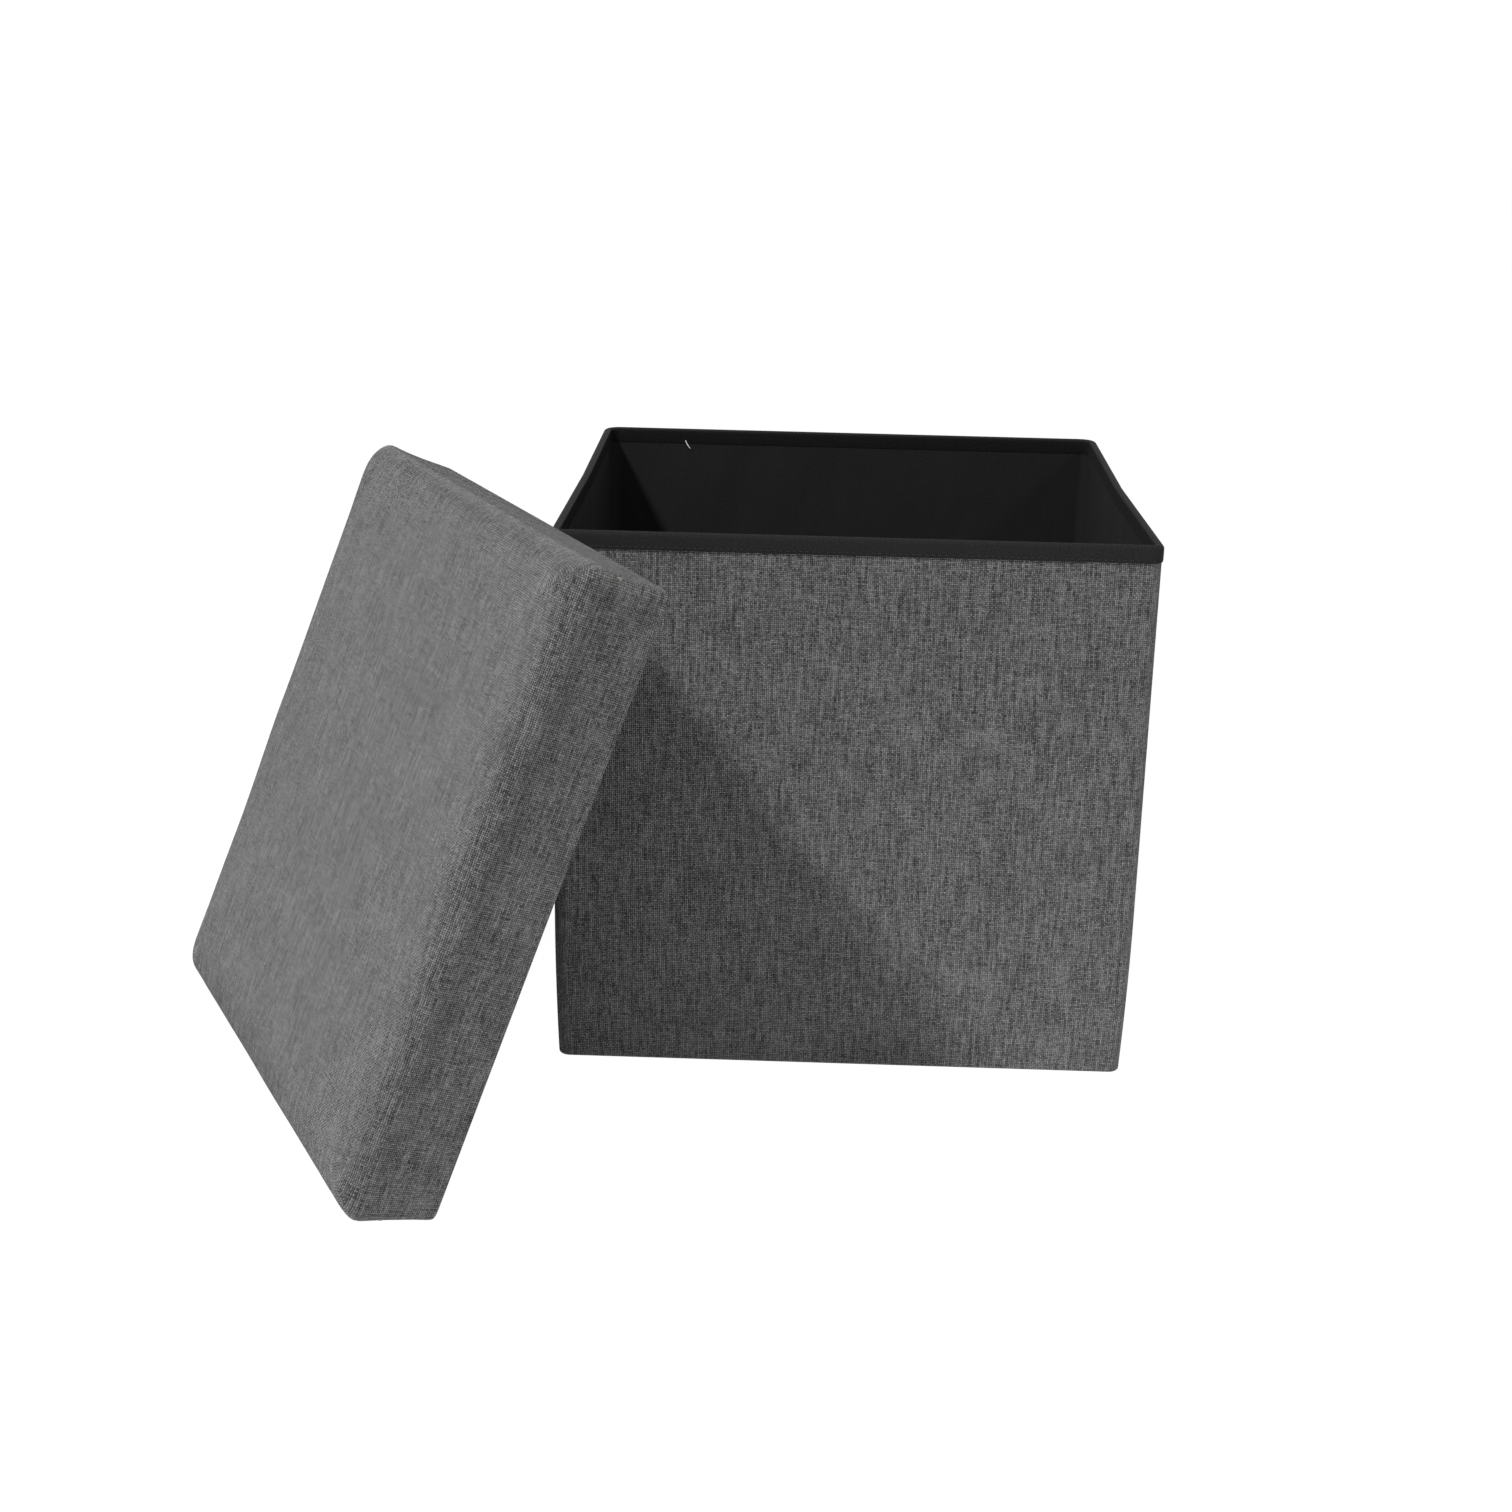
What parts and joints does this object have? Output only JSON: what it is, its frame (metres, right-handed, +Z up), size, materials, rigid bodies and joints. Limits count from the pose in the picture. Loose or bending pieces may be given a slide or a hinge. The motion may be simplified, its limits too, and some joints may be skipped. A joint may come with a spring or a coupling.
{
  "type": "folding storage ottoman",
  "caption": "Square fold-flat storage ottoman in linen-look fabric, its padded lift-off lid leaning open against the box.",
  "frame": {"origin": "middle of the box's footprint on the floor", "axes": "+Z up; +Y towards the box's back wall; +X towards its right wall, seen from the front"},
  "size_m": [0.6488, 0.6402, 0.3845],
  "materials": {
    "linen": "matte woven linen-look polyester, mid grey melange",
    "binding": "matte black woven binding tape",
    "lining": "matte black non-woven cloth",
    "grey_board": "plain grey fibreboard",
    "foam": "soft open-cell foam"
  },
  "bodies": {
    "back_wall": {"back_fabric": "linen", "back_board": "grey_board", "back_lining": "lining", "back_binding": "binding", "base_cloth": "linen"},
    "front_wall": {"front_fabric": "linen", "front_board": "grey_board", "front_lining": "lining", "front_binding": "binding"},
    "left_rear_wall": {"left_rear_fabric": "linen", "left_rear_board": "grey_board", "left_rear_lining": "lining", "left_rear_binding": "binding"},
    "left_front_wall": {"left_front_fabric": "linen", "left_front_board": "grey_board", "left_front_lining": "lining", "left_front_binding": "binding"},
    "right_rear_wall": {"right_rear_fabric": "linen", "right_rear_board": "grey_board", "right_rear_lining": "lining", "right_rear_binding": "binding"},
    "right_front_wall": {"right_front_fabric": "linen", "right_front_board": "grey_board", "right_front_lining": "lining", "right_front_binding": "binding"},
    "base_panel": {"base_board": "grey_board", "base_board_cover": "lining"},
    "lid": {"lid_cover": "linen", "lid_foam": "foam", "lid_board": "grey_board", "lid_underside_cloth": "lining", "lid_skirt_fabric_lower": "linen", "lid_skirt_fabric_upper": "linen", "lid_skirt_fabric_near": "linen", "lid_skirt_fabric_far": "linen", "lid_skirt_board_lower": "grey_board", "lid_skirt_board_upper": "grey_board", "lid_skirt_board_near": "grey_board", "lid_skirt_board_far": "grey_board", "lid_skirt_lining_lower": "lining", "lid_skirt_lining_upper": "lining", "lid_skirt_lining_near": "lining", "lid_skirt_lining_far": "lining"}
  },
  "joints": [
    {"name": "fold", "type": "hinge", "parent": "back_wall", "child": "left_rear_wall", "pos_m": [-0.1843, 0.1802, 0.179], "axis": [0, 0, 1], "range_deg": [0, 90]},
    {"name": "left_crease", "type": "hinge", "parent": "left_rear_wall", "child": "left_front_wall", "pos_m": [-0.1911, -0.00205, 0.179], "axis": [0, 0, 1], "range_deg": [-180, 0]},
    {"name": "left_front_corner", "type": "hinge", "parent": "left_front_wall", "child": "front_wall", "pos_m": [-0.1843, -0.1843, 0.179], "axis": [0, 0, 1], "range_deg": [0, 90]},
    {"name": "right_rear_corner", "type": "hinge", "parent": "back_wall", "child": "right_rear_wall", "pos_m": [0.1843, 0.1802, 0.179], "axis": [0, 0, 1], "range_deg": [-90, 0]},
    {"name": "right_crease", "type": "hinge", "parent": "right_rear_wall", "child": "right_front_wall", "pos_m": [0.1911, -0.00205, 0.179], "axis": [0, 0, 1], "range_deg": [0, 180]},
    {"name": "base_lift", "type": "hinge", "parent": "back_wall", "child": "base_panel", "pos_m": [0, 0.1841, 0.0048], "axis": [-1, 0, 0], "range_deg": [0, 90]},
    {"name": "lid_lift", "type": "slide", "parent": "back_wall", "child": "lid", "axis": [0, 0, 1], "range_m": [0, 0.4]}
  ],
  "couplings": [
    {"joint": "left_crease", "follows": "fold", "ratio": -2},
    {"joint": "left_front_corner", "follows": "fold", "ratio": 1},
    {"joint": "right_rear_corner", "follows": "fold", "ratio": -1},
    {"joint": "right_crease", "follows": "fold", "ratio": 2}
  ]
}
